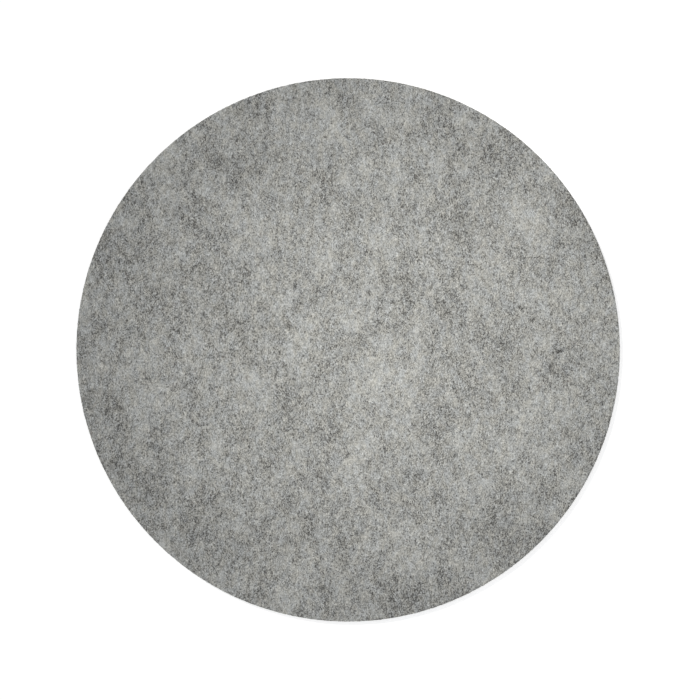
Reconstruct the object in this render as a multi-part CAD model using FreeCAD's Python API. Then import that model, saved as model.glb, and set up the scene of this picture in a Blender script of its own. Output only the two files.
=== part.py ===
import FreeCAD, Part

import math
import os

# A self-adhesive felt polishing pad for a flat lap plate, cut by one round die through all its
# layers, so that they share one rim. From the bottom up: a siliconised paper liner in two halves
# with a slit between them, the adhesive that grips the lap plate, the tape's polyester film,
# the adhesive that holds the felt, and the pressed wool felt itself. It has no hole, hub or tab.
# Lengths are in millimetres. The origin is the middle of the liner's underside, and +Z points
# up through the layers to the polishing face. The slit runs along Y.

# Driving dimensions
pad_diameter = 203.2              # 8 in, the size of a standard flat lap plate
felt_thickness = 3.175            # 1/8 in, a stock thickness of sheet felt
felt_edge_radius = 0.3            # the top edge, pressed round by the die
felt_side_adhesive_thickness = 0.09   # the thicker coat, to wet into the fibres
film_thickness = 0.05
plate_side_adhesive_thickness = 0.06
liner_thickness = 0.13            # siliconised kraft paper
liner_slit_width = 0.2            # the knife cut across the liner, where peeling starts

# Sizes worked out from them
pad_radius = pad_diameter / 2
plate_side_adhesive_base = liner_thickness
film_base = plate_side_adhesive_base + plate_side_adhesive_thickness
felt_side_adhesive_base = film_base + film_thickness
felt_base = felt_side_adhesive_base + felt_side_adhesive_thickness


def layer_disc(base, thickness):
    # One layer of the laminate: a full disc from base upwards.
    return Part.makeCylinder(pad_radius, thickness, FreeCAD.Vector(0, 0, base))


def felt_disc():
    # The felt, with the edge of its polishing face rounded and its other edge left sharp.
    block = layer_disc(felt_base, felt_thickness)
    top = felt_base + felt_thickness
    top_edges = [edge for edge in block.Edges if edge.BoundBox.ZMin > top - felt_edge_radius]
    return block.makeFillet(felt_edge_radius, top_edges)


def liner_half(side):
    # The liner on one side of the slit: side is -1 for the left half and 1 for the right one.
    chord_x = side * liner_slit_width / 2
    chord_half_length = math.sqrt(pad_radius ** 2 - chord_x ** 2)
    first_end = FreeCAD.Vector(chord_x, -side * chord_half_length, 0)
    last_end = FreeCAD.Vector(chord_x, side * chord_half_length, 0)
    rim = Part.Arc(first_end, FreeCAD.Vector(side * pad_radius, 0, 0), last_end)
    chord = Part.LineSegment(last_end, first_end)
    outline = Part.Wire([rim.toShape(), chord.toShape()])
    return Part.Face(outline).extrude(FreeCAD.Vector(0, 0, liner_thickness))


def build():
    return {
        "felt_disc": felt_disc(),
        "felt_side_adhesive": layer_disc(felt_side_adhesive_base, felt_side_adhesive_thickness),
        "carrier_film": layer_disc(film_base, film_thickness),
        "plate_side_adhesive": layer_disc(plate_side_adhesive_base, plate_side_adhesive_thickness),
        "release_liner_left": liner_half(-1),
        "release_liner_right": liner_half(1),
    }


os.makedirs("parts", exist_ok=True)
for node, shape in build().items():
    shape.exportStep(f"parts/{node}.step")
    box = shape.BoundBox
    print(f"{node}: {shape.Volume:.1f} mm3, z {box.ZMin:.3f} to {box.ZMax:.3f}, valid {shape.isValid()}")
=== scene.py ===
import math

import bpy
import numpy as np
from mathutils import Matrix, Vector, noise


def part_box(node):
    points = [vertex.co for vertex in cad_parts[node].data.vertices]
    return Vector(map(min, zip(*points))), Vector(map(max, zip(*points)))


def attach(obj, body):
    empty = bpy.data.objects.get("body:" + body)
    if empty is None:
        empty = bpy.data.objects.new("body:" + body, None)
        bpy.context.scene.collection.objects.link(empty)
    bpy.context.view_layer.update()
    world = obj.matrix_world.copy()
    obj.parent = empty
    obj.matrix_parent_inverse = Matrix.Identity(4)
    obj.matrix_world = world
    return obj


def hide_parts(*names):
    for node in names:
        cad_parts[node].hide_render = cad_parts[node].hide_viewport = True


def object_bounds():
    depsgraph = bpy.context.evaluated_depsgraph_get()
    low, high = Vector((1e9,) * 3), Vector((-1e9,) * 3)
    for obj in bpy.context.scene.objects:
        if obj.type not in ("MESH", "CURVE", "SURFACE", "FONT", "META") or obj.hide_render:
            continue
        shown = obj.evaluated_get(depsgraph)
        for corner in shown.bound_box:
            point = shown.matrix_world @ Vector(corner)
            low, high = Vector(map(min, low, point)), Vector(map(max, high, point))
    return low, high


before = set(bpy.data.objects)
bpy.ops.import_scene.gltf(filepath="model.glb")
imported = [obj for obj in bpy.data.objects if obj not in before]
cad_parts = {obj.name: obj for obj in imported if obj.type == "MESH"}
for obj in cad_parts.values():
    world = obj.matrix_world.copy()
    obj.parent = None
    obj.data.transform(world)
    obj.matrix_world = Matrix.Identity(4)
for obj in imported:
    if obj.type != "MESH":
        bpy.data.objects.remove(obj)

mm = 0.001
cadLow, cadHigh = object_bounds()
padRadius = (cadHigh.y - cadLow.y) / 2
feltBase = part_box("felt_disc")[0].z
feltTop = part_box("felt_disc")[1].z
noiseFalloff, noiseStep = 0.6, 2.0


def toLinear(hexColour):
    channels = [int(hexColour[i:i + 2], 16) / 255 for i in (1, 3, 5)]
    return (*[c / 12.92 if c <= 0.04045 else ((c + 0.055) / 1.055) ** 2.4 for c in channels], 1)


def addNode(tree, kind, settings={}, inputs={}):
    # one node with its settings; an input takes a plain value, or an output to link from
    node = tree.nodes.new("ShaderNode" + kind)
    for name, value in settings.items():
        setattr(node, name, value)
    for name, value in inputs.items():
        if isinstance(value, bpy.types.NodeSocket):
            tree.links.new(value, node.inputs[name])
        else:
            node.inputs[name].default_value = value
    return node


def newMaterial(name):
    material = bpy.data.materials.new(name)
    material.use_nodes = True
    material.node_tree.nodes.clear()
    return material, material.node_tree


def newPiece(name, points, faces, material, body, sharpFrom=None):
    mesh = bpy.data.meshes.new(name)
    mesh.from_pydata(points, [], faces)
    mesh.update()
    mesh.shade_smooth()
    if sharpFrom:
        mesh.set_sharp_from_angle(angle=math.radians(sharpFrom))
    mesh.materials.append(material)
    piece = bpy.data.objects.new(name, mesh)
    bpy.context.scene.collection.objects.link(piece)
    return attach(piece, body)


def slowNoise(x, y, size, octaves, layer=0.0):
    values = []
    for a, b in zip(x.ravel() / size, y.ravel() / size):
        values.append(noise.fractal(Vector((a, b, layer)), noiseFalloff, noiseStep, octaves))
    return np.array(values).reshape(x.shape)


# The felt disc, pressed flat and cut out with a die
feltDisc = {
    "gridSteps": 280,
    "edgeRadius": 0.3 * mm,
    "relief": 0.06 * mm,
    "reliefSize": 3.5 * mm,
    "wallRows": 9,
    "wallRoughness": 0.05 * mm,
    "wallInset": 0.8,           # of the roughness, so that hardly a spot stands out past the disc
    "wallGrain": (1.2, 1.2, 0.5),   # mm, in X, Y and Z
    "rimShadeWidth": 0.5 * mm,   # of rim that is painted darker: painted shade on the rounded edge and the wall
    "rimPaintedShade": 0.10,      # painted shade: taken off the pale wool's share there
    "cardedSize": 26.0 * mm,    # between places where the carded wool lay thicker or thinner
    "cardedChange": 0.058,       # of the pale wool's share
    "cardedLayer": 5.0,         # which slice of the noise is used
}


def surfaceHeight(x, y):
    # the slow rise and fall of the pressed face above its mean level
    return feltDisc["relief"] * slowNoise(x, y, feltDisc["reliefSize"], 3)


def cardedShareAndRimShade(x, y):
    # how the pale wool's share changes over the disc, and painted shade that darkens the rim and the wall
    lay = slowNoise(x, y, feltDisc["cardedSize"], 2, feltDisc["cardedLayer"])
    fromRim = padRadius - np.hypot(x, y)
    # painted shade, strongest at the rim and fading inwards
    rimShade = np.clip(1 - fromRim / feltDisc["rimShadeWidth"], 0, 1)
    return feltDisc["cardedChange"] * (lay - lay.mean()) - feltDisc["rimPaintedShade"] * rimShade


woolFelt = {
    "creamWool": "#dbdad2",     # undyed wool is a little creamy
    "coolWool": "#d8dbda",      # and some of it a little blue
    "darkWool": "#484744",      # dyed charcoal
    "paleShare": 0.415,
    # wool fibres are 0.03 mm wide, too fine to show, so the pattern is drawn coarser, as tufts of about ten
    "tuftWidth": 0.30,          # mm
    "tuftLength": 1.5,          # mm
    "bendEvery": 3.0,           # mm between the bends of a tuft
    "bendBy": 2.2,              # mm
    "tuftContrast": 1.36,
    "speckSize": 0.34,          # mm; single fibre ends, drawn coarser than they are
    "speckContrast": 0.85,
    "hairSize": 0.10,           # mm; the fibres inside a tuft
    "hairContrast": 0.7,
    "clumpGrain": 1.6,          # how much more the grain shows where the wool is darker
    "clumpSize": 8.0,           # mm
    "clumpContrast": 1.1,
    "tintSize": 3.0,            # mm
    "tintContrast": 4.6,
    "tuftDirections": 6,
    "lengthwise": 1.6,          # everything is drawn out this much along Y, the way the wool was carded
    "roughness": (0.86, 0.98),  # of pale tufts and dark ones
    "bumpStrength": 0.5,
    "bumpHeight": 0.15,         # mm
    "sheen": 0.2,
    "ior": 1.54,                # of keratin
}


def makeWoolFelt(w):
    # Pressed wool felt: pale and charcoal fibres matted every way, dull, with a soft sheen at a low angle
    material, tree = newMaterial("woolFelt")
    place = addNode(tree, "TexCoord").outputs["Object"]
    place = addNode(tree, "Mapping", {}, {
        "Vector": place, "Scale": (1 / mm, 1 / mm / w["lengthwise"], 1 / mm)}).outputs[0]
    bend = addNode(tree, "TexNoise", {}, {"Vector": place, "Scale": 1 / w["bendEvery"], "Detail": 1.0})
    bend = addNode(tree, "VectorMath", {"operation": "SUBTRACT"}, {
        0: bend.outputs["Color"], 1: (0.5, 0.5, 0.5)})
    bend = addNode(tree, "VectorMath", {"operation": "SCALE"}, {0: bend.outputs[0], "Scale": w["bendBy"]})
    bent = addNode(tree, "VectorMath", {"operation": "ADD"}, {0: place, 1: bend.outputs[0]}).outputs[0]
    pale = dark = None
    for i in range(w["tuftDirections"]):
        turned = addNode(tree, "Mapping", {}, {
            "Vector": bent,
            "Location": (i * 37.0, i * 11.0, 0),
            "Rotation": (0, 0, math.pi * i / w["tuftDirections"]),
        })
        drawn = addNode(tree, "Mapping", {}, {
            "Vector": turned.outputs[0],
            "Scale": (1 / w["tuftWidth"], 1 / w["tuftLength"], 1 / w["tuftWidth"]),
        })
        tufts = addNode(tree, "TexNoise", {}, {
            "Vector": drawn.outputs[0], "Scale": 1.0, "Detail": 1.0}).outputs[0]
        if pale is None:
            pale = dark = tufts
        else:
            pale = addNode(tree, "Math", {"operation": "MAXIMUM"}, {0: pale, 1: tufts}).outputs[0]
            dark = addNode(tree, "Math", {"operation": "MINIMUM"}, {0: dark, 1: tufts}).outputs[0]
    grain = addNode(tree, "Math", {"operation": "ADD"}, {0: pale, 1: dark}).outputs[0]
    grain = addNode(tree, "Math", {"operation": "SUBTRACT"}, {0: grain, 1: 1.0}).outputs[0]
    clumps = addNode(tree, "TexNoise", {}, {
        "Vector": place, "Scale": 1 / w["clumpSize"], "Detail": 4.0, "Roughness": 0.88}).outputs[0]
    specks = addNode(tree, "TexNoise", {}, {
        "Vector": place, "Scale": 1 / w["speckSize"], "Detail": 0.0}).outputs[0]
    hairs = addNode(tree, "TexNoise", {}, {
        "Vector": place, "Scale": 1 / w["hairSize"], "Detail": 2.0}).outputs[0]
    hairs = addNode(tree, "Math", {"operation": "SUBTRACT"}, {0: hairs, 1: 0.5}).outputs[0]
    # the carded lay of the wool, with painted shade at the rim
    cardedAndRimShade = addNode(tree, "Attribute", {"attribute_name": "cardedAndRimShade"}).outputs["Fac"]
    share = addNode(tree, "Math", {"operation": "ADD"}, {0: cardedAndRimShade, 1: w["paleShare"]}).outputs[0]
    clumps = addNode(tree, "Math", {"operation": "SUBTRACT"}, {0: clumps, 1: 0.5}).outputs[0]
    specks = addNode(tree, "Math", {"operation": "SUBTRACT"}, {0: specks, 1: 0.5}).outputs[0]
    fine = addNode(tree, "Math", {"operation": "MULTIPLY"}, {0: specks, 1: w["speckContrast"]}).outputs[0]
    fine = addNode(tree, "Math", {"operation": "MULTIPLY_ADD"}, {
        0: hairs, 1: w["hairContrast"], 2: fine}).outputs[0]
    fine = addNode(tree, "Math", {"operation": "MULTIPLY_ADD"}, {
        0: grain, 1: w["tuftContrast"], 2: fine}).outputs[0]
    stronger = addNode(tree, "Math", {"operation": "MULTIPLY_ADD"}, {
        0: clumps, 1: -w["clumpGrain"], 2: 1.0}).outputs[0]
    fine = addNode(tree, "Math", {"operation": "MULTIPLY"}, {0: fine, 1: stronger}).outputs[0]
    share = addNode(tree, "Math", {"operation": "ADD"}, {0: share, 1: fine}).outputs[0]
    share = addNode(tree, "Math", {"operation": "MULTIPLY_ADD"}, {
        0: clumps, 1: w["clumpContrast"], 2: share}).outputs[0]
    tint = addNode(tree, "TexNoise", {}, {
        "Vector": place, "Scale": 1 / w["tintSize"], "Detail": 4.0, "Roughness": 0.75}).outputs[0]
    tint = addNode(tree, "Math", {"operation": "SUBTRACT"}, {0: tint, 1: 0.5}).outputs[0]
    tint = addNode(tree, "Math", {"operation": "MULTIPLY_ADD"}, {
        0: tint, 1: w["tintContrast"], 2: 0.5}).outputs[0]
    paleWool = addNode(tree, "Mix", {"data_type": "RGBA"}, {
        0: tint, 6: toLinear(w["creamWool"]), 7: toLinear(w["coolWool"])}).outputs[2]
    colour = addNode(tree, "Mix", {"data_type": "RGBA"}, {
        0: share, 6: toLinear(w["darkWool"]), 7: paleWool}).outputs[2]
    lowest, highest = w["roughness"]
    roughness = addNode(tree, "MapRange", {}, {
        "Value": grain, 1: -0.3, 2: 0.3, 3: lowest, 4: highest}).outputs[0]
    bump = addNode(tree, "Bump", {}, {
        "Height": grain, "Strength": w["bumpStrength"], "Distance": w["bumpHeight"] * mm}).outputs[0]
    wool = addNode(tree, "BsdfPrincipled", {}, {
        "Base Color": colour, "Roughness": roughness, "Normal": bump, "IOR": w["ior"],
        "Sheen Weight": w["sheen"], "Sheen Roughness": 0.5})
    addNode(tree, "OutputMaterial", {}, {"Surface": wool.outputs[0]})
    return material


def makeFeltDisc(d, material):
    # the face is a square grid drawn out into a disc, so its quads stay even; the wall hangs from its rim
    line = np.linspace(-1, 1, d["gridSteps"] + 1)
    across, up = np.meshgrid(line, line)
    wide = abs(across) > abs(up)
    reach = np.where(wide, across, up)
    other = np.where(wide, up, across)
    turn = math.pi / 4 * np.divide(other, reach, out=np.zeros_like(reach), where=reach != 0)
    x = reach * np.where(wide, np.cos(turn), np.sin(turn))
    y = reach * np.where(wide, np.sin(turn), np.cos(turn))
    flatRadius = padRadius - d["edgeRadius"]
    x, y = x * flatRadius, y * flatRadius
    top = np.stack([x, y, feltTop + surfaceHeight(x, y)], -1).reshape(-1, 3)
    n = d["gridSteps"] + 1
    index = np.arange(n * n).reshape(n, n)
    faces = np.stack([index[:-1, :-1], index[:-1, 1:], index[1:, 1:], index[1:, :-1]], -1)
    faces = faces.reshape(-1, 4).tolist()
    rim = np.concatenate([index[0, :-1], index[:-1, -1], index[-1, :0:-1], index[:0:-1, 0]])
    around = len(rim)
    angle = np.arctan2(top[rim, 1], top[rim, 0])
    rows = [(padRadius - d["edgeRadius"] * (1 - math.sin(a)), feltTop - d["edgeRadius"] * (1 - math.cos(a)))
            for a in (math.pi / 6, math.pi / 3, math.pi / 2)]
    wallTop = feltTop - d["edgeRadius"]
    for i in range(d["wallRows"]):
        rows.append((padRadius, wallTop + (feltBase - wallTop) * (i + 1) / d["wallRows"]))
    grainX, grainY, grainZ = d["wallGrain"]
    points = [top]
    last = rim
    for i, (r, z) in enumerate(rows):
        ring = np.stack([r * np.cos(angle), r * np.sin(angle), np.full(around, z)], -1)
        for p in ring:
            spot = Vector((p[0] / grainX, p[1] / grainY, p[2] / grainZ)) / mm
            rough = noise.fractal(spot, noiseFalloff, noiseStep, 3)
            p[:2] *= 1 + d["wallRoughness"] * (rough - d["wallInset"]) / padRadius
        start = n * n + i * around
        now = np.arange(start, start + around)
        faces += np.stack([last, now, np.roll(now, -1), np.roll(last, -1)], -1).tolist()
        points.append(ring)
        last = now
    faces.append(last[::-1].tolist())
    points = np.concatenate(points)
    piece = newPiece("felt_body", points, faces, material, "pad", sharpFrom=60)
    # the carded lay of the wool, with painted shade at the rim and on the wall
    cardedAndRimShade = piece.data.attributes.new("cardedAndRimShade", "FLOAT", "POINT")
    cardedAndRimShade.data.foreach_set("value", cardedShareAndRimShade(points[:, 0], points[:, 1]).astype(np.float32))
    return piece


# Loose surface fibres, drawn about three times as thick as real wool so that they show
fibreSets = {
    "pale": {"pieces": 2, "perPiece": 6000, "length": 2.2, "width": 0.085, "lift": 0.10, "seed": 11},
    "dark": {"pieces": 2, "perPiece": 6000, "length": 2.0, "width": 0.085, "lift": 0.06, "seed": 31},
}
fibreSegments = 5
fibreCrimp = 0.45               # how much one short step turns from the last, in radians a millimetre
fibreTip = 0.35                 # width of the ends, of the middle's
fibreSunk = 0.03 * mm           # how far the ends go into the felt
fibreWidths = (0.7, 1.2)        # thinnest and thickest, of the set's width
fibreLengths = (0.5, 1.6)       # shortest and longest, of the set's length
rimClearance = 0.25 * mm


def tubes(paths, radii):
    # each path becomes a closed three-sided tube that tapers to its two ends
    count, steps = paths.shape[:2]
    along = np.gradient(paths, axis=1)
    along /= np.linalg.norm(along, axis=2, keepdims=True)
    side = np.cross(along, (0, 0, 1.0))
    side /= np.linalg.norm(side, axis=2, keepdims=True)
    up = np.cross(side, along)
    taper = fibreTip + (1 - fibreTip) * np.sin(np.pi * np.linspace(0, 1, steps))
    size = (radii[:, None] * taper)[:, :, None]
    corners = [paths + size * (math.cos(a) * side + math.sin(a) * up)
               for a in (math.pi / 2, math.pi * 7 / 6, math.pi * 11 / 6)]
    points = np.stack(corners, 2).reshape(-1, 3)
    index = np.arange(count * steps * 3).reshape(count, steps, 3)
    a, b = index[:, :-1], index[:, 1:]
    turned = np.roll(index, -1, axis=2)
    quads = np.stack([a, turned[:, :-1], turned[:, 1:], b], -1).reshape(-1, 4)
    faces = quads.tolist() + index[:, 0, ::-1].tolist() + index[:, -1].tolist()
    return points, faces


def crimpedLines(rng, heading, length, curl):
    # lines of short straight steps about (0, 0), each step turned a little from the one before
    count = len(length)
    step = (length / fibreSegments)[:, None]
    bends = rng.normal(0, curl, (count, 1)) + rng.normal(0, fibreCrimp, (count, fibreSegments))
    headings = heading[:, None] + np.cumsum(bends * step / mm, axis=1)
    u = np.concatenate([np.zeros((count, 1)), np.cumsum(np.cos(headings) * step, 1)], 1)
    v = np.concatenate([np.zeros((count, 1)), np.cumsum(np.sin(headings) * step, 1)], 1)
    return u - u.mean(1, keepdims=True), v - v.mean(1, keepdims=True)


def fibrePaths(rng, x, y, heading, length, lift, curl=0.5):
    # fibres that lie on the felt in crimped curves, with both ends worked into it
    u, v = crimpedLines(rng, heading, length, curl)
    px, py = x[:, None] + u, y[:, None] + v
    arch = np.sin(np.pi * np.linspace(0, 1, fibreSegments + 1))
    z = feltTop + surfaceHeight(px, py) - fibreSunk + lift[:, None] * arch
    paths = np.stack([px, py, z], -1)
    inside = np.hypot(px, py).max(1) < padRadius - rimClearance
    return paths[inside], inside


def makeFibrePiece(name, paths, radii, tone, material):
    points, faces = tubes(paths, radii)
    piece = newPiece(name, points, faces, material, "pad")
    perPoint = np.repeat(tone, paths.shape[1] * 3)
    attribute = piece.data.attributes.new("fibreTone", "FLOAT", "POINT")
    attribute.data.foreach_set("value", perPoint.astype(np.float32))
    return piece


def makeFibres(kind, f, material):
    rng = np.random.default_rng(f["seed"])
    made = []
    for i in range(f["pieces"]):
        n = f["perPiece"]
        radius = padRadius * np.sqrt(rng.random(n))
        around = rng.random(n) * 2 * math.pi
        x, y = radius * np.cos(around), radius * np.sin(around)
        heading = rng.random(n) * 2 * math.pi
        length = f["length"] * mm * rng.uniform(*fibreLengths, n)
        lift = f["lift"] * mm * rng.random(n)
        paths, inside = fibrePaths(rng, x, y, heading, length, lift)
        radii = f["width"] / 2 * mm * rng.uniform(*fibreWidths, n)[inside]
        tone = rng.random(n)[inside]
        made.append(makeFibrePiece(f"felt_{kind}_fibres_{i + 1}", paths, radii, tone, material))
    return made


darkTufts = {
    # two sizes of bunch: how many, fibres in each on average, shortest and longest in mm
    "large": (16, 34, 2.2, 4.0),
    "small": (420, 10, 0.8, 2.1),
    "fewestFibres": 3,
    "spreadAlong": 0.26,        # of the tuft's length
    "spreadAcross": 0.30,       # mm
    "fibreWidth": 0.10,         # mm
    "fibreLength": 0.6,         # of the tuft's length
    "fibreLift": 0.08,          # mm
    "fibreCurl": 0.9,
    "fan": 0.55,                # radians between the fibres of one tuft
    "tones": 0.5,               # only the darkest part of the dark wool's tones
    "lengthwise": 0.55,         # share of the tufts that lie roughly along Y
    "unevenness": 0.35,         # of their headings, in radians, and of how many fibres they have
    "fromRim": 1.5,             # mm that are left clear
    "seed": 51,
}


def makeDarkTufts(t, material):
    # little bunches of charcoal fibre that the carding didn't open
    rng = np.random.default_rng(t["seed"])
    tufts = []
    for size in ("large", "small"):
        count, fibresInEach, shortest, longest = t[size]
        for i in range(count):
            reach = (padRadius / mm - t["fromRim"]) * math.sqrt(rng.random())
            around = rng.random() * 2 * math.pi
            if rng.random() < t["lengthwise"]:
                along = rng.normal(math.pi / 2, t["unevenness"])
            else:
                along = rng.random() * math.pi
            fibres = max(t["fewestFibres"], int(rng.normal(1, t["unevenness"]) * fibresInEach))
            length = rng.uniform(shortest, longest)
            tufts.append((reach * math.cos(around), reach * math.sin(around), along, length, fibres))
    each = [tuft[4] for tuft in tufts]
    x, y, heading, length = [np.repeat([tuft[k] for tuft in tufts], each) for k in range(4)]
    count = len(x)
    along = rng.normal(0, t["spreadAlong"], count) * length
    across = rng.normal(0, t["spreadAcross"], count)
    x = (x + along * np.cos(heading) - across * np.sin(heading)) * mm
    y = (y + along * np.sin(heading) + across * np.cos(heading)) * mm
    heading = heading + rng.normal(0, t["fan"], count)
    length = t["fibreLength"] * length * mm
    lift = t["fibreLift"] * mm * rng.random(count)
    paths, inside = fibrePaths(rng, x, y, heading, length, lift, t["fibreCurl"])
    radii = t["fibreWidth"] / 2 * mm * rng.uniform(*fibreWidths, count)[inside]
    tone = t["tones"] * rng.random(count)[inside]
    return makeFibrePiece("felt_dark_tufts", paths, radii, tone, material)


edgeFuzz = {
    "count": 5200,
    "length": 0.95,             # mm
    "lengths": (0.4, 1.6),      # shortest and longest, of that length
    "width": 0.06,              # mm
    "curl": 0.9,
    "reach": 0.12,              # mm that the highest ones stand out from the cut
    "root": 0.06,               # mm behind the rim where they begin
    "freeEnd": 0.85,            # of half a turn; below 1 the far end stays a little out of the felt
    "margin": 0.12,             # mm from the face and the tape to the middles of the fibres
    "lowest": 0.06,             # mm above the tape
    "highest": 0.02,            # mm above the face
    "slant": 0.45,              # radians off the layers of the felt, which lie flat
    "seed": 71,
}


def makeEdgeFuzz(f, kind, material):
    # fibres that the die cut through, crimped along the wall and standing out a little
    rng = np.random.default_rng(f["seed"] + (kind == "dark"))
    n = f["count"]
    around = rng.random(n) * 2 * math.pi
    middle = rng.uniform(feltBase + f["margin"] * mm, feltTop - f["margin"] * mm, n)
    length = f["length"] * mm * rng.uniform(*f["lengths"], n)
    u, v = crimpedLines(rng, rng.normal(0, f["slant"], n), length, f["curl"])
    angle = around[:, None] + u / padRadius
    z = np.clip(middle[:, None] + v, feltBase + f["lowest"] * mm, feltTop + f["highest"] * mm)
    arch = np.sin(np.pi * f["freeEnd"] * np.linspace(0, 1, fibreSegments + 1))
    r = padRadius - f["root"] * mm + f["reach"] * mm * rng.random(n)[:, None] * arch
    paths = np.stack([r * np.cos(angle), r * np.sin(angle), z], -1)
    radii = f["width"] / 2 * mm * rng.uniform(*fibreWidths, n)
    return makeFibrePiece(f"felt_edge_{kind}_fibres", paths, radii, rng.random(n), material)


looseWool = {
    "scaleSize": 0.15,          # mm; the scales along a fibre are finer, and are drawn coarser to show
    "worn": (0.75, 1.25),       # how far the tone varies along a fibre
    "roughness": (0.55, 0.8),
    # colours from the first fibre tone to the last, with where each begins
    "pale": [(0.0, "#b4b3ac"), (0.45, "#dbdad2"), (0.9, "#eeeee9")],
    "dark": [(0.0, "#2a2a2a"), (0.45, "#55534f"), (0.76, "#6d6c69"), (0.84, "#465a70"), (0.92, "#6b4f44")],
}


def makeLooseWool(kind, w):
    # Single wool fibres, some of them dyed blue or rust: scaly, so duller than a smooth thread
    material, tree = newMaterial(kind + "WoolFibres")
    tone = addNode(tree, "Attribute", {"attribute_name": "fibreTone"}).outputs["Fac"]
    place = addNode(tree, "TexCoord").outputs["Object"]
    scales = addNode(tree, "TexNoise", {}, {
        "Vector": place, "Scale": 1 / (w["scaleSize"] * mm), "Detail": 1.0}).outputs[0]
    ramp = addNode(tree, "ValToRGB", {}, {0: tone})
    while len(ramp.color_ramp.elements) < len(w[kind]):
        ramp.color_ramp.elements.new(1.0)
    for element, (begin, colour) in zip(ramp.color_ramp.elements, w[kind]):
        element.position = begin
        element.color = toLinear(colour)
    darkest, palest = w["worn"]
    worn = addNode(tree, "MapRange", {}, {"Value": scales, 3: darkest, 4: palest}).outputs[0]
    colour = addNode(tree, "VectorMath", {"operation": "SCALE"}, {
        0: ramp.outputs[0], "Scale": worn}).outputs[0]
    lowest, highest = w["roughness"]
    roughness = addNode(tree, "MapRange", {}, {"Value": scales, 3: lowest, 4: highest}).outputs[0]
    bump = addNode(tree, "Bump", {}, {"Height": scales, "Strength": 0.3, "Distance": 0.01 * mm}).outputs[0]
    wool = addNode(tree, "BsdfPrincipled", {}, {
        "Base Color": colour, "Roughness": roughness, "Normal": bump, "IOR": 1.54, "Sheen Weight": 0.2})
    addNode(tree, "OutputMaterial", {}, {"Surface": wool.outputs[0]})
    return material


feltMaterial = makeWoolFelt(woolFelt)
feltPiece = makeFeltDisc(feltDisc, feltMaterial)
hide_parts("felt_disc")
print("felt body made")
fibrePieces = []
for kind in fibreSets:
    loose = makeLooseWool(kind, looseWool)
    fibrePieces += makeFibres(kind, fibreSets[kind], loose)
    fibrePieces.append(makeEdgeFuzz(edgeFuzz, kind, loose))
fibrePieces.append(makeDarkTufts(darkTufts, loose))
print("felt fibres made:", len(fibrePieces), "pieces")


# The double-sided tape under the felt: adhesive, film, adhesive, each die-cut with the felt
tapeLayers = {
    "gap": 0.006 * mm,          # drawn between layers that really touch
    "around": 720,
    "profile": 6,
    "inset": 0.06,              # mm from the disc's rim
    # the rim's radius and height as the noise sees them; larger ones make it wander more often
    "raggedRadius": 60,
    "raggedRise": 3,
    "raggedFalloff": 0.7,
    # how far the rim stands out halfway up, and how unevenly, in mm
    "felt_side_adhesive": {"squeeze": 0.05, "uneven": 0.04},
    "carrier_film": {"squeeze": -0.03, "uneven": 0.01},
    "plate_side_adhesive": {"squeeze": 0.04, "uneven": 0.04},
}


def makeTapeLayer(name, t, material):
    low, high = [corner.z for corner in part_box(name)]
    low, high = low + t["gap"], high - t["gap"]
    around, reach = t["around"], t["raggedRadius"]
    angle = np.arange(around) * 2 * math.pi / around
    points = []
    faces = []
    for row in range(t["profile"] + 1):
        up = row / t["profile"]
        for a in angle:
            spot = Vector((reach * math.cos(a), reach * math.sin(a), t["raggedRise"] * up))
            ragged = noise.fractal(spot, t["raggedFalloff"], noiseStep, 3) - 0.5
            out = t[name]["squeeze"] * math.sin(math.pi * up) + t[name]["uneven"] * ragged
            r = padRadius - t["inset"] * mm + out * mm
            points.append((r * math.cos(a), r * math.sin(a), low + (high - low) * up))
    for row in range(t["profile"]):
        for i in range(around):
            a, b = row * around + i, row * around + (i + 1) % around
            faces.append((a, b, b + around, a + around))
    faces.append(range(around)[::-1])
    faces.append(range(t["profile"] * around, (t["profile"] + 1) * around))
    piece = newPiece(name + "_layer", points, faces, material, "pad", sharpFrom=50)
    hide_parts(name)
    return piece


acrylicAdhesive = {"colour": "#d8d2bf", "streak": "#c3bca6", "coatSize": 1.4, "ribSize": 0.9}


def makeAcrylicAdhesive(w):
    # Acrylic adhesive, coated wet and dried: glossy, with the coating bar's faint ribs.
    # The real one is clear; it is drawn opaque, as only its rim and the slit show
    material, tree = newMaterial("acrylicAdhesive")
    place = addNode(tree, "TexCoord").outputs["Object"]
    coat = addNode(tree, "TexNoise", {}, {
        "Vector": place, "Scale": 1 / (w["coatSize"] * mm), "Detail": 2.0}).outputs[0]
    ribbed = addNode(tree, "Mapping", {}, {"Vector": place, "Scale": (1, 0.04, 1)}).outputs[0]
    ribs = addNode(tree, "TexNoise", {}, {
        "Vector": ribbed, "Scale": 1 / (w["ribSize"] * mm), "Detail": 1.0}).outputs[0]
    both = addNode(tree, "Math", {"operation": "ADD"}, {0: coat, 1: ribs}).outputs[0]
    tone = addNode(tree, "MapRange", {}, {"Value": both, 1: 0.75, 2: 1.25}).outputs[0]
    colour = addNode(tree, "Mix", {"data_type": "RGBA"}, {
        0: tone, 6: toLinear(w["streak"]), 7: toLinear(w["colour"])}).outputs[2]
    roughness = addNode(tree, "MapRange", {}, {"Value": coat, 1: 0.3, 2: 0.7, 3: 0.12, 4: 0.3}).outputs[0]
    bump = addNode(tree, "Bump", {}, {"Height": both, "Strength": 0.4, "Distance": 0.03 * mm}).outputs[0]
    glue = addNode(tree, "BsdfPrincipled", {}, {
        "Base Color": colour, "Roughness": roughness, "Normal": bump, "IOR": 1.47})
    addNode(tree, "OutputMaterial", {}, {"Surface": glue.outputs[0]})
    return material


polyesterFilm = {"colour": "#e6e8e7", "haze": "#d3d7d8", "lineSize": 0.5}


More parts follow.
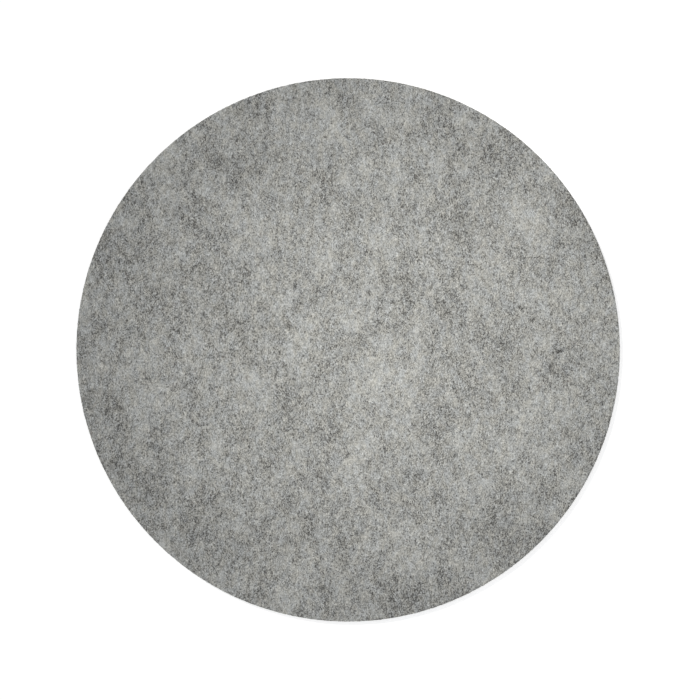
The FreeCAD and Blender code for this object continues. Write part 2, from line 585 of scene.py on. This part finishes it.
def makePolyesterFilm(w):
    # Polyester film, stretched and heat-set: glass-smooth, with a faint haze drawn out along the web.
    # The real one is clear; it is drawn opaque, as only its rim shows
    material, tree = newMaterial("polyesterFilm")
    place = addNode(tree, "TexCoord").outputs["Object"]
    drawn = addNode(tree, "Mapping", {}, {"Vector": place, "Scale": (1, 0.03, 1)}).outputs[0]
    lines = addNode(tree, "TexNoise", {}, {
        "Vector": drawn, "Scale": 1 / (w["lineSize"] * mm), "Detail": 2.0}).outputs[0]
    colour = addNode(tree, "Mix", {"data_type": "RGBA"}, {
        0: lines, 6: toLinear(w["haze"]), 7: toLinear(w["colour"])}).outputs[2]
    roughness = addNode(tree, "MapRange", {}, {"Value": lines, 1: 0.3, 2: 0.7, 3: 0.06, 4: 0.16}).outputs[0]
    bump = addNode(tree, "Bump", {}, {"Height": lines, "Strength": 0.2, "Distance": 0.005 * mm}).outputs[0]
    film = addNode(tree, "BsdfPrincipled", {}, {
        "Base Color": colour, "Roughness": roughness, "Normal": bump, "IOR": 1.6})
    addNode(tree, "OutputMaterial", {}, {"Surface": film.outputs[0]})
    return material


adhesiveMaterial = makeAcrylicAdhesive(acrylicAdhesive)
for name in ("felt_side_adhesive", "plate_side_adhesive"):
    makeTapeLayer(name, tapeLayers, adhesiveMaterial)
makeTapeLayer("carrier_film", tapeLayers, makePolyesterFilm(polyesterFilm))
print("tape layers made")


# The release liner: kraft paper in two halves, which meet at a slit cut from below
linerPaper = {
    "gap": 0.004 * mm,
    "arcSteps": 360,
    "slitSteps": 240,
    "knifeWander": 0.03 * mm,
    "wanderSize": 0.9 * mm,
    "wanderInset": 0.6,         # of the wander; what would still stand out is cut back to the outline
    # the cut edge from the bottom face to the top one, as (set back, height share)
    "edgeProfile": [(0.030, 0.0), (0.010, 0.08), (0.002, 0.25), (0.0, 0.6), (0.006, 0.9), (0.022, 1.0)],
}


def makeLinerHalf(name, side, p, topMaterial, bottomMaterial):
    low, high = [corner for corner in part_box(name)]
    slit = low.x if side > 0 else high.x
    bottom, top = low.z, high.z - p["gap"]
    arc = np.linspace(-math.pi / 2, math.pi / 2, p["arcSteps"] + 1)[1:-1]
    outline = []
    for a in arc:
        outX, outY = math.cos(a) * side, math.sin(a)
        outline.append((side * padRadius * math.cos(a), padRadius * math.sin(a), outX, outY))
    chord = math.sqrt(padRadius ** 2 - slit ** 2)
    for y in np.linspace(chord, -chord, p["slitSteps"] + 1):
        outline.append((slit, y, -side, 0.0))
    points = []
    for setBack, share in p["edgeProfile"]:
        for x, y, outX, outY in outline:
            spot = Vector((x / p["wanderSize"], y / p["wanderSize"], share / mm))
            wander = noise.fractal(spot, noiseFalloff, noiseStep, 3) - p["wanderInset"]
            away = min(0.0, wander * p["knifeWander"]) - setBack * mm
            points.append((x + outX * away, y + outY * away, bottom + (top - bottom) * share))
    around = len(outline)
    rows = len(p["edgeProfile"])
    index = np.arange(rows * around).reshape(rows, around)
    if side < 0:
        index = index[:, ::-1]
    walls = np.stack([index[:-1], np.roll(index[:-1], -1, 1), np.roll(index[1:], -1, 1), index[1:]], -1)
    faces = walls.reshape(-1, 4).tolist() + [index[0, ::-1].tolist(), index[-1].tolist()]
    body = "liner_right" if side > 0 else "liner_left"
    piece = newPiece(name + "_sheet", points, faces, bottomMaterial, body, sharpFrom=50)
    piece.data.materials.append(topMaterial)
    piece.data.polygons[len(faces) - 1].material_index = 1
    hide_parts(name)
    return piece


kraftPaper = {
    "fibreTurns": (0.1, 0.8, 1.35, 2.05, 2.6),   # radians
    "siliconised": {"smooth": 0.32, "dull": 0.46, "ior": 1.42},
    "plain": {"smooth": 0.7, "dull": 0.88, "ior": 1.5},
    "bumpStrength": 0.35,
    "bumpHeight": 0.04,         # mm
    "pale": "#d9c19c",
    "brown": "#b4935f",
    "fibreWidth": 0.22,         # mm; real ones are 0.03 mm, so these are drawn coarser to show
    "fibreLength": 1.6,         # mm
    "bendEvery": 1.6,           # mm between the bends of a fibre
    "bendBy": 1.1,              # mm
    "cloudSize": 2.4,           # mm
    "cloudContrast": 0.45,
}


def makeKraftPaper(name, w, finish):
    # Unbleached kraft paper, pressed between hot rolls: dull and fibrous, or satin where it is siliconised
    material, tree = newMaterial(name)
    place = addNode(tree, "TexCoord").outputs["Object"]
    bend = addNode(tree, "TexNoise", {}, {
        "Vector": place, "Scale": 1 / (w["bendEvery"] * mm), "Detail": 1.0})
    bend = addNode(tree, "VectorMath", {"operation": "SUBTRACT"}, {
        0: bend.outputs["Color"], 1: (0.5, 0.5, 0.5)})
    bend = addNode(tree, "VectorMath", {"operation": "SCALE"}, {
        0: bend.outputs[0], "Scale": w["bendBy"] * mm})
    bent = addNode(tree, "VectorMath", {"operation": "ADD"}, {0: place, 1: bend.outputs[0]}).outputs[0]
    fibres = None
    for turn in w["fibreTurns"]:
        turned = addNode(tree, "Mapping", {}, {"Vector": bent, "Rotation": (0, 0, turn)})
        drawn = addNode(tree, "Mapping", {}, {
            "Vector": turned.outputs[0],
            "Scale": (1 / mm / w["fibreWidth"], 1 / mm / w["fibreLength"], 1 / mm),
        })
        layer = addNode(tree, "TexNoise", {}, {
            "Vector": drawn.outputs[0], "Scale": 1.0, "Detail": 2.0}).outputs[0]
        if fibres is None:
            fibres = layer
        else:
            fibres = addNode(tree, "Math", {"operation": "MINIMUM"}, {0: fibres, 1: layer}).outputs[0]
    clouds = addNode(tree, "TexNoise", {}, {
        "Vector": place, "Scale": 1 / (w["cloudSize"] * mm), "Detail": 3.0}).outputs[0]
    both = addNode(tree, "Math", {"operation": "MULTIPLY_ADD"}, {
        0: clouds, 1: w["cloudContrast"], 2: fibres}).outputs[0]
    tone = addNode(tree, "MapRange", {}, {"Value": both, 1: 0.35, 2: 0.75}).outputs[0]
    colour = addNode(tree, "Mix", {"data_type": "RGBA"}, {
        0: tone, 6: toLinear(w["brown"]), 7: toLinear(w["pale"])}).outputs[2]
    roughness = addNode(tree, "MapRange", {}, {
        "Value": fibres, 1: 0.3, 2: 0.6, 3: w[finish]["dull"], 4: w[finish]["smooth"]}).outputs[0]
    bump = addNode(tree, "Bump", {}, {
        "Height": both, "Strength": w["bumpStrength"], "Distance": w["bumpHeight"] * mm}).outputs[0]
    paper = addNode(tree, "BsdfPrincipled", {}, {
        "Base Color": colour, "Roughness": roughness, "Normal": bump, "IOR": w[finish]["ior"]})
    addNode(tree, "OutputMaterial", {}, {"Surface": paper.outputs[0]})
    return material


siliconisedKraft = makeKraftPaper("siliconisedKraft", kraftPaper, "siliconised")
plainKraft = makeKraftPaper("plainKraft", kraftPaper, "plain")
for name, side in (("release_liner_left", -1), ("release_liner_right", 1)):
    makeLinerHalf(name, side, linerPaper, siliconisedKraft, plainKraft)
print("release liner made")


# A white acrylic shooting table, lit from below so that it stays white
shootingTable = {"halfSize": 6.0, "colour": "#f4f4f4", "roughness": 0.6, "glow": 0.47}


def makeStage(t):
    mesh = bpy.data.meshes.new("shootingTable")
    s = t["halfSize"]
    mesh.from_pydata([(-s, -s, 0), (s, -s, 0), (s, s, 0), (-s, s, 0)], [], [(0, 1, 2, 3)])
    floor = bpy.data.objects.new("shootingTable", mesh)
    bpy.context.scene.collection.objects.link(floor)
    material, tree = newMaterial("whiteAcrylicTable")
    table = addNode(tree, "BsdfPrincipled", {}, {
        "Base Color": toLinear(t["colour"]), "Roughness": t["roughness"],
        "Emission Color": (1, 1, 1, 1), "Emission Strength": t["glow"]})
    addNode(tree, "OutputMaterial", {}, {"Surface": table.outputs[0]})
    mesh.materials.append(material)


# A white room, brighter low down, and one soft spot from the upper left
studioLight = {
    "roomColour": "#fcfdff",
    "spotColour": "#fffdf8",
    "overhead": 0.575,          # the room's strength straight above
    "horizon": 1.1,             # and low down
    "change": (0.05, 0.6),      # heights, as the sine of the angle, where it goes from one to the other
    "spotPower": 58.0,          # watts
    "spotDistance": 1.5,        # metres
    "spotHeight": 55.0,         # degrees above the table
    "spotSide": 135.0,          # degrees, anticlockwise from +X
    "spotAim": (28, 4),         # mm
    "spotReach": (152, 112),    # mm, to where the spot has faded out, across and along
    "spotSoftness": 0.06,       # metres
}


def makeLights(s):
    world = bpy.data.worlds.new("studio")
    bpy.context.scene.world = world
    world.use_nodes = True
    tree = world.node_tree
    tree.nodes.clear()
    direction = addNode(tree, "TexCoord").outputs["Generated"]
    up = addNode(tree, "SeparateXYZ", {}, {0: direction}).outputs["Z"]
    level = addNode(tree, "MapRange", {"interpolation_type": "SMOOTHSTEP"}, {
        "Value": up, 1: s["change"][0], 2: s["change"][1], 3: s["horizon"], 4: s["overhead"]}).outputs[0]
    back = addNode(tree, "Background", {}, {"Color": toLinear(s["roomColour"]), "Strength": level})
    addNode(tree, "OutputWorld", {}, {"Surface": back.outputs[0]})
    lamp = bpy.data.lights.new("softSpot", "SPOT")
    lamp.energy = s["spotPower"]
    lamp.color = toLinear(s["spotColour"])[:3]
    lamp.spot_blend = 1.0
    lamp.shadow_soft_size = s["spotSoftness"]
    across, along = [reach * mm / s["spotDistance"] for reach in s["spotReach"]]
    lamp.spot_size = 2 * math.atan(across)
    spot = bpy.data.objects.new("softSpot", lamp)
    height, side = math.radians(s["spotHeight"]), math.radians(s["spotSide"])
    away = Vector((math.cos(height) * math.cos(side), math.cos(height) * math.sin(side), math.sin(height)))
    aim = Vector((s["spotAim"][0] * mm, s["spotAim"][1] * mm, 0))
    spot.location = aim + away * s["spotDistance"]
    spot.rotation_euler = (-away).to_track_quat("-Z", "Y").to_euler()
    spot.scale = (1, along / across, 1)
    bpy.context.scene.collection.objects.link(spot)


overheadCamera = {
    "lens": 100,                # mm
    "sensor": 36,               # mm
    "halfView": 130.8,          # mm at the felt's face, from the middle of the view to its side
    "offCentre": (0.70, -0.06),     # mm
    "clipEnd": 20,              # metres
}


def makeCamera(c):
    lens = bpy.data.cameras.new("overheadCamera")
    lens.lens = c["lens"]
    lens.sensor_width = c["sensor"]
    lens.clip_end = c["clipEnd"]
    camera = bpy.data.objects.new("overheadCamera", lens)
    distance = c["halfView"] * mm * c["lens"] / (c["sensor"] / 2)
    camera.location = (c["offCentre"][0] * mm, c["offCentre"][1] * mm, feltTop + distance)
    bpy.context.scene.collection.objects.link(camera)
    bpy.context.scene.camera = camera


makeStage(shootingTable)
makeLights(studioLight)
makeCamera(overheadCamera)
bpy.context.scene.view_settings.view_transform = "Standard"
print("table, lights and camera made")
